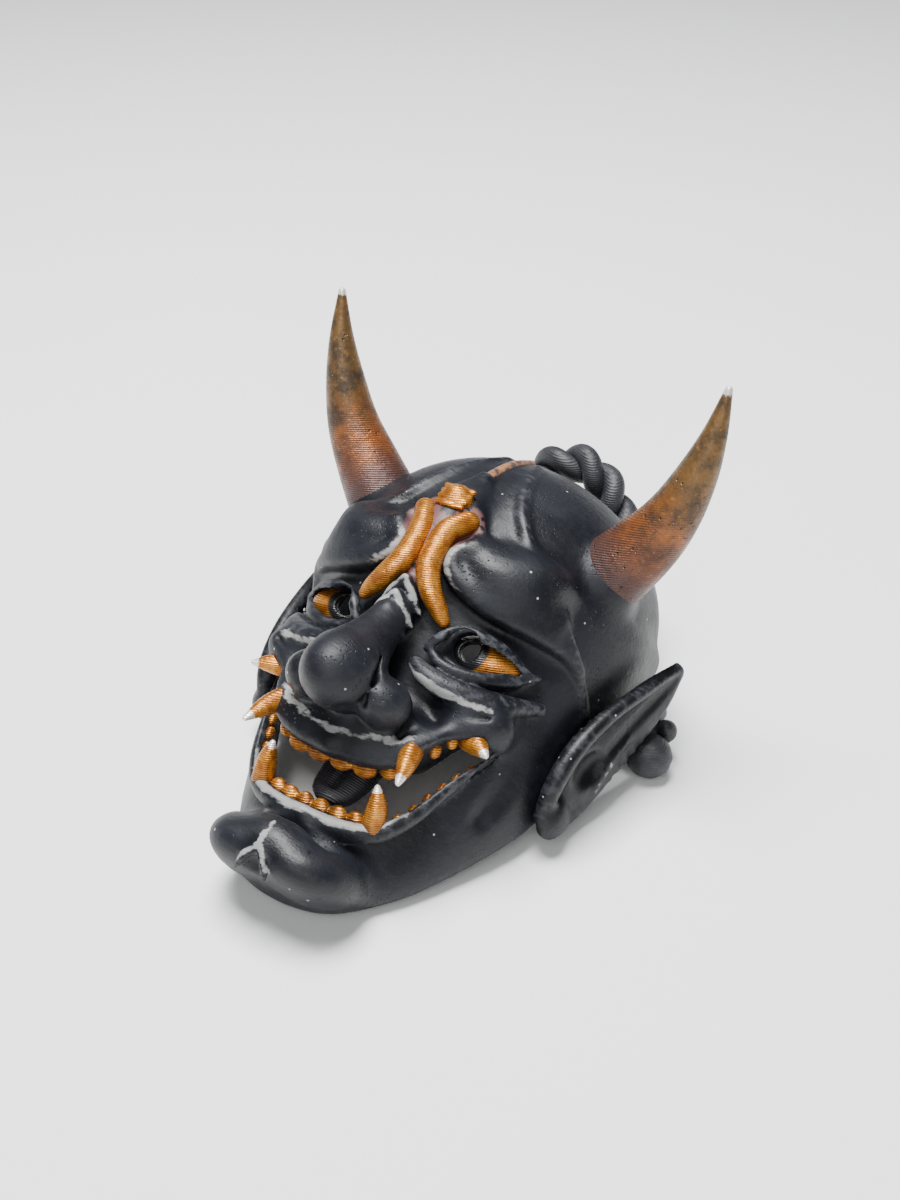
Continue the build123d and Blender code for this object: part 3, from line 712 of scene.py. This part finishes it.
# ---------------------------------------------------------------- materials
class Nodes:
    """Short ways to write a node tree. Values are numbers, colours or other nodes' outputs."""

    def __init__(self, name):
        self.material = bpy.data.materials.new(name)
        self.material.use_nodes = True
        self.tree = self.material.node_tree
        self.shader = self.tree.nodes["Principled BSDF"]
        self.place = self.tree.nodes.new("ShaderNodeTexCoord").outputs["Object"]

    def put(self, socket, value):
        if isinstance(value, bpy.types.NodeSocket):
            self.tree.links.new(value, socket)
        elif isinstance(value, tuple) and len(value) == 3 and socket.type == "RGBA":
            socket.default_value = (*value, 1)
        else:
            socket.default_value = value

    def math(self, kind, a, b=0.0):
        node = self.tree.nodes.new("ShaderNodeMath")
        node.operation = kind
        self.put(node.inputs[0], a)
        self.put(node.inputs[1], b)
        return node.outputs[0]

    def layer(self, name):
        node = self.tree.nodes.new("ShaderNodeAttribute")
        node.attribute_name = name
        return node.outputs["Fac"]

    def stretch(self, scale, turn=(0, 0, 0)):
        node = self.tree.nodes.new("ShaderNodeMapping")
        self.put(node.inputs["Vector"], self.place)
        node.inputs["Scale"].default_value = scale
        node.inputs["Rotation"].default_value = turn
        return node.outputs[0]

    def noise(self, size_mm, detail=3.0, rough=0.55, place=None):
        node = self.tree.nodes.new("ShaderNodeTexNoise")
        self.put(node.inputs["Vector"], self.place if place is None else place)
        node.inputs["Scale"].default_value = 1000 / size_mm
        node.inputs["Detail"].default_value = detail
        node.inputs["Roughness"].default_value = rough
        return node.outputs["Fac"]

    def cells(self, size_mm, output="Distance"):
        node = self.tree.nodes.new("ShaderNodeTexVoronoi")
        self.put(node.inputs["Vector"], self.place)
        node.inputs["Scale"].default_value = 1000 / size_mm
        return node.outputs[output]

    def layers(self, step_mm, wobble=0.15, turn=(0, 0, 0)):
        """Lines of the print's layers, level by default."""
        node = self.tree.nodes.new("ShaderNodeTexWave")
        self.put(node.inputs["Vector"], self.stretch((1, 1, 1), turn))
        node.bands_direction = "Z"
        node.inputs["Scale"].default_value = 1000 / step_mm * pi / 10
        node.inputs["Distortion"].default_value = wobble
        node.inputs["Detail"].default_value = 1.0
        node.inputs["Detail Scale"].default_value = 2.0
        return node.outputs["Fac"]

    def span(self, value, low, high, to_low=0.0, to_high=1.0):
        """value between low and high, eased to between to_low and to_high."""
        node = self.tree.nodes.new("ShaderNodeMapRange")
        node.interpolation_type = "SMOOTHSTEP"
        for socket, number in zip(node.inputs, (value, low, high, to_low, to_high)):
            self.put(socket, number)
        return node.outputs[0]

    def mix(self, factor, a, b):
        node = self.tree.nodes.new("ShaderNodeMix")
        node.data_type = "RGBA"
        self.put(node.inputs["Factor"], factor)
        self.put(node.inputs["A"], a)
        self.put(node.inputs["B"], b)
        return node.outputs["Result"]

    def bump(self, height, depth_mm, under=None):
        node = self.tree.nodes.new("ShaderNodeBump")
        node.inputs["Distance"].default_value = depth_mm * MM
        self.put(node.inputs["Height"], height)
        if under is not None:
            self.put(node.inputs["Normal"], under)
        return node.outputs[0]

    def finish(self, colour, roughness, normal, specular=0.4):
        self.put(self.shader.inputs["Base Color"], colour)
        self.put(self.shader.inputs["Roughness"], roughness)
        self.put(self.shader.inputs["Normal"], normal)
        self.shader.inputs["Specular IOR Level"].default_value = specular
        return self.material


def specks(n, size_mm, rarity):
    """Sparse pin pricks: the middles of a few cells."""
    dot = n.span(n.cells(size_mm), 0.12, 0.05)
    few = n.tree.nodes.new("ShaderNodeSeparateColor")
    n.put(few.inputs[0], n.cells(size_mm, "Color"))
    return n.math("MULTIPLY", dot, n.math("GREATER_THAN", few.outputs[0], rarity))


def charcoal_paint(name, dark=1.0):
    """Matt charcoal paint, rubbed grey on ridges and dry-brushed pale grey along the sharp edges, with
    painted shade darkening its hollows and near-black painted shade inside the shell.
    """
    n = Nodes(name)
    patch = n.noise(14, 4, 0.6)
    streak = n.noise(1.6, 4, 0.65, n.stretch((0.35, 1.0, 1.0), (LEAN, 0, 0.5)))
    base = n.mix(n.span(patch, 0.35, 0.65), tuple(dark * c for c in (0.0032, 0.0038, 0.006)),
                 tuple(dark * c for c in (0.0075, 0.0088, 0.0128)))
    base = n.mix(n.span(streak, 0.5, 0.8, 0, 0.35), base, tuple(dark * c for c in (0.02, 0.0225, 0.029)))
    # painted shade: the charcoal is darkened towards black in the hollows, where shade falls
    hollow = n.layer("hollow")
    base = n.mix(n.span(hollow, 0.1, 0.8, 0, 0.75), base, (0.0018, 0.002, 0.003))
    pink = n.math("MULTIPLY", n.layer("pink"), n.span(n.noise(2.5), 0.3, 0.55))
    base = n.mix(n.span(pink, 0.2, 0.7, 0, 0.8), base, (0.13, 0.06, 0.058))
    rub = n.math("MAXIMUM", n.layer("rubbed"), n.math("MULTIPLY", n.layer("ridge"), 0.9))
    rub = n.math("MULTIPLY", rub, n.span(streak, 0.38, 0.62))
    base = n.mix(n.span(rub, 0.15, 0.9, 0, 0.5), base, (0.07, 0.074, 0.084))
    ragged = n.math("ADD", n.layer("brushed"), n.math("MULTIPLY", n.math("SUBTRACT", streak, 0.5), 1.5))
    chalk = n.mix(streak, (0.11, 0.113, 0.117), (0.36, 0.36, 0.35))
    base = n.mix(n.span(ragged, 0.5, 0.82, 0, 0.92), base, chalk)
    base = n.mix(n.math("MULTIPLY", specks(n, 2.6, 0.86), 0.7), base, (0.5, 0.5, 0.49))
    # painted shade: the inside of the shell is made near black
    base = n.mix(n.layer("inside"), base, (0.0015, 0.0015, 0.002))
    pits = n.span(n.cells(0.9), 0.28, 0.05)
    pits = n.math("MULTIPLY", pits, n.span(n.noise(9), 0.52, 0.6))
    normal = n.bump(pits, -0.12)
    normal = n.bump(n.noise(0.5, 4, 0.6), 0.055, normal)
    normal = n.bump(streak, 0.11, normal)
    rough = n.span(patch, 0.3, 0.7, 0.38, 0.54)
    return n.finish(base, rough, normal, 0.3)


def copper_paint(name):
    """Copper paint on a horn, browner and greener towards its white tip, with pits and layer lines."""
    n = Nodes(name)
    along = n.layer("along")
    mottle = n.noise(4.5, 5, 0.65)
    fine = n.noise(0.9, 4, 0.7)
    warm = n.mix(n.span(mottle, 0.32, 0.68), (0.24, 0.07, 0.013), (0.07, 0.022, 0.010))
    olive = n.mix(n.span(mottle, 0.35, 0.65), (0.145, 0.078, 0.024), (0.04, 0.025, 0.013))
    shift = n.math("ADD", along, n.math("MULTIPLY", n.math("SUBTRACT", mottle, 0.5), 0.6))
    colour = n.mix(n.span(shift, 0.2, 0.62), warm, olive)
    colour = n.mix(n.span(fine, 0.55, 0.75, 0, 0.6), colour, (0.36, 0.18, 0.05))
    dark = n.math("MULTIPLY", n.span(n.noise(2.2, 5, 0.7), 0.56, 0.68), 0.75)
    colour = n.mix(dark, colour, (0.05, 0.03, 0.024))
    foot = n.math("ADD", along, n.math("MULTIPLY", mottle, 0.12))
    colour = n.mix(n.span(foot, 0.3, 0.17, 0, 0.85), colour, (0.035, 0.024, 0.03))
    tip = n.math("ADD", along, n.math("MULTIPLY", n.math("SUBTRACT", fine, 0.5), 0.05))
    colour = n.mix(n.span(tip, 0.975, 0.99), colour, (0.62, 0.6, 0.57))
    lines = n.layers(0.45, 0.4, (0.35, 0.2, 0))
    low = n.span(along, 0.55, 0.3)
    colour = n.mix(n.math("MULTIPLY", n.math("MULTIPLY", lines, low), 0.35), colour, (0.11, 0.045, 0.02))
    pits = n.math("MULTIPLY", n.span(n.cells(1.5), 0.24, 0.06), n.span(n.noise(5), 0.5, 0.58))
    colour = n.mix(n.math("MULTIPLY", pits, 0.7), colour, (0.04, 0.024, 0.018))
    normal = n.bump(pits, -0.3)
    normal = n.bump(n.math("MULTIPLY", lines, low), 0.06, normal)
    normal = n.bump(fine, 0.16, normal)
    n.shader.inputs["Metallic"].default_value = 0.4
    return n.finish(colour, n.span(mottle, 0.3, 0.7, 0.33, 0.5), normal, 0.5)


def gold_paint(name, tips=False, brown=0.0):
    """Gold paint over the print's fine layer lines, with painted shade darkening it to brown in the creases.
    brown adds brown patches.
    """
    n = Nodes(name)
    lines = n.layers(0.42, 0.9, (0.5, 0.15, 0))
    blotch = n.noise(2.4, 4, 0.6)
    gold = n.mix(n.span(blotch, 0.3, 0.7), (0.30, 0.09, 0.008), (0.66, 0.28, 0.034))
    gold = n.mix(n.math("MULTIPLY", lines, 0.55), gold, (0.18, 0.05, 0.006))
    gold = n.mix(n.span(n.noise(1.1, 5, 0.7), 0.6, 0.74, 0, 0.6), gold, (0.16, 0.06, 0.02))
    # painted shade: the gold is darkened to brown in the hollows, where shade falls
    gold = n.mix(n.span(n.layer("hollow"), 0.1, 0.7, 0, 0.85), gold, (0.13, 0.045, 0.015))
    gold = n.mix(n.layer("iris"), gold, (0.006, 0.006, 0.007))
    if brown:
        gold = n.mix(n.span(n.noise(1.8, 4), 0.3, 0.6, brown, 0.0), gold, (0.10, 0.035, 0.012))
    if tips:
        foot = n.math("ADD", n.layer("along"), n.math("MULTIPLY", blotch, 0.2))
        gold = n.mix(n.span(foot, 0.35, 0.12, 0, 0.7), gold, (0.20, 0.08, 0.025))
        gold = n.mix(n.span(foot, 0.88, 0.98), gold, (0.82, 0.78, 0.72))
    normal = n.bump(lines, 0.07)
    normal = n.bump(n.noise(0.7, 3), 0.08, normal)
    n.put(n.shader.inputs["Metallic"], n.math("MULTIPLY", n.math("SUBTRACT", 1.0, n.layer("iris")), 0.65))
    return n.finish(gold, 0.36, normal, 0.5)


def inlay_paint(name):
    n = Nodes(name)
    worn = n.noise(1.6, 5, 0.7)
    colour = n.mix(n.span(worn, 0.4, 0.62), (0.30, 0.125, 0.055), (0.03, 0.03, 0.036))
    return n.finish(colour, 0.5, n.bump(worn, 0.1), 0.45)


def tongue_paint(name):
    """Black tongue with fine layer lines across it."""
    n = Nodes(name)
    lines = n.layers(0.5, 0.6, (1.2, 0, 0))
    colour = n.mix(n.math("MULTIPLY", lines, 0.8), (0.006, 0.006, 0.009), (0.03, 0.031, 0.038))
    colour = n.mix(n.span(n.noise(1.2, 4, 0.7), 0.62, 0.72, 0, 0.3), colour, (0.12, 0.12, 0.12))
    return n.finish(colour, 0.4, n.bump(lines, 0.08), 0.5)


def rope_paint(name):
    n = Nodes(name)
    fuzz = n.noise(0.8, 4, 0.7)
    patch = n.noise(5)
    colour = n.mix(n.span(patch, 0.3, 0.7), (0.011, 0.0115, 0.015), (0.026, 0.027, 0.032))
    colour = n.mix(n.span(fuzz, 0.62, 0.75, 0, 0.4), colour, (0.11, 0.112, 0.118))
    lines = n.layers(0.45, 0.3)
    normal = n.bump(lines, 0.05)
    return n.finish(colour, 0.5, n.bump(fuzz, 0.12, normal), 0.4)


def floor_paint():
    n = Nodes("pale_floor")
    tone = n.mix(n.noise(90, 2), (0.80, 0.805, 0.80), (0.83, 0.835, 0.83))
    return n.finish(tone, 0.85, n.bump(n.noise(1.5, 3), 0.02), 0.2)


# ---------------------------------------------------------------- the pieces
CHARCOAL = charcoal_paint("charcoal_paint")
EAR_PAINT = charcoal_paint("ear_paint", 0.6)
COPPER = copper_paint("copper_paint")
GOLD = gold_paint("gold_paint")
FANG_GOLD = gold_paint("fang_gold", tips=True)
TOOTH_GOLD = gold_paint("tooth_gold", brown=0.75)
ROPE = rope_paint("rope_paint")

finish_piece(make_face(), CHARCOAL, "black_paint", "face_shell")
finish_piece(make_crest(), GOLD, "gold_paint", "brow_crest")
inlay = make_rod_piece("crown_inlay_sculpt", CROWN_LINE, (1.3, 1.2, 1.15, 1.1, 0.9), False)
finish_piece(inlay, inlay_paint("inlay_paint"), "copper_line", "crown_inlay")
finish_piece(make_teeth("upper_teeth_sculpt", UPPER_TEETH), TOOTH_GOLD, "gold_paint", "upper_teeth")
finish_piece(make_teeth("lower_teeth_sculpt", LOWER_TEETH), TOOTH_GOLD, "gold_paint", "lower_teeth")
finish_piece(make_tongue(), tongue_paint("tongue_paint"), "black_paint", "tongue")
finish_piece(make_rope(), ROPE, "black_paint", "rope")
for side in ("left", "right"):
    mirror = side == "right"
    finish_piece(make_horn(side), COPPER, "copper_horn", f"horn_{side}")
    band = make_rod_piece(f"brow_band_{side}_sculpt", BAND, BAND_RADII, mirror)
    finish_piece(band, GOLD, "gold_paint", f"brow_band_{side}")
    finish_piece(make_eye(side), GOLD, "gold_paint", f"eye_{side}")
    finish_piece(make_side_teeth(side), TOOTH_GOLD, "gold_paint", f"side_teeth_{side}")
    finish_piece(make_ear(side), EAR_PAINT, "black_paint", f"ear_{side}")
    finish_piece(make_knob(side), ROPE, "black_paint", f"rope_knob_{side}")
    for kind, (points, radii) in FANGS.items():
        fang = make_rod_piece(f"fang_{kind}_{side}_sculpt", points, radii, mirror)
        finish_piece(fang, FANG_GOLD, "gold_fang", f"fang_{kind}_{side}")


# ---------------------------------------------------------------- floor, light and camera
def make_floor():
    reach = 4.0
    mesh = bpy.data.meshes.new("floor")
    corners = [(-reach, -reach, 0), (reach, -reach, 0), (reach, reach, 0), (-reach, reach, 0)]
    mesh.from_pydata(corners, [], [(0, 1, 2, 3)])
    floor = bpy.data.objects.new("floor", mesh)
    bpy.context.collection.objects.link(floor)
    floor.data.materials.append(floor_paint())


def soft_light(name, place, aim, size, power):
    light = bpy.data.lights.new(name, "AREA")
    light.size = size
    light.energy = power
    obj = bpy.data.objects.new(name, light)
    bpy.context.collection.objects.link(obj)
    eye, target = np.array(place, float), np.array(aim, float)
    back = (eye - target) / np.linalg.norm(eye - target)
    right = np.cross((0.01, 0.02, 1), back)
    right /= np.linalg.norm(right)
    turn = np.array([right, np.cross(back, right), back]).T
    obj.matrix_world = Matrix.Translation(place) @ Matrix(turn.tolist()).to_4x4()


def make_camera():
    """At the photograph's viewing angle."""
    azimuth, elevation, distance = radians(32.1), radians(34.4), 306.0
    slide, raise_ = 0.6, 13.4
    right = np.array([cos(azimuth), sin(azimuth), 0])
    back = np.array([sin(azimuth) * cos(elevation), -cos(azimuth) * cos(elevation), sin(elevation)])
    up = np.cross(back, right)
    at = right * slide + up * raise_ + back * distance + (0, EYE_SETBACK, EYE_HEIGHT)
    camera = bpy.data.objects.new("camera", bpy.data.cameras.new("camera"))
    camera.data.lens = 44.6
    camera.data.clip_start = 0.01
    turn = Matrix(np.array([right, up, back]).T.tolist()).to_4x4()
    camera.matrix_world = Matrix.Translation(at * MM) @ turn
    bpy.context.collection.objects.link(camera)
    bpy.context.scene.camera = camera


make_floor()
soft_light("overhead", (-0.12, 0.04, 0.85), (0, 0, 0.02), 0.42, 24.0)
soft_light("front_fill", (0.30, -0.80, 0.60), (0, -0.1, 0.0), 0.9, 7.0)
world = bpy.data.worlds.new("studio")
world.use_nodes = True
world.node_tree.nodes["Background"].inputs[0].default_value = (0.93, 0.95, 1, 1)
world.node_tree.nodes["Background"].inputs[1].default_value = 0.18
bpy.context.scene.world = world
make_camera()
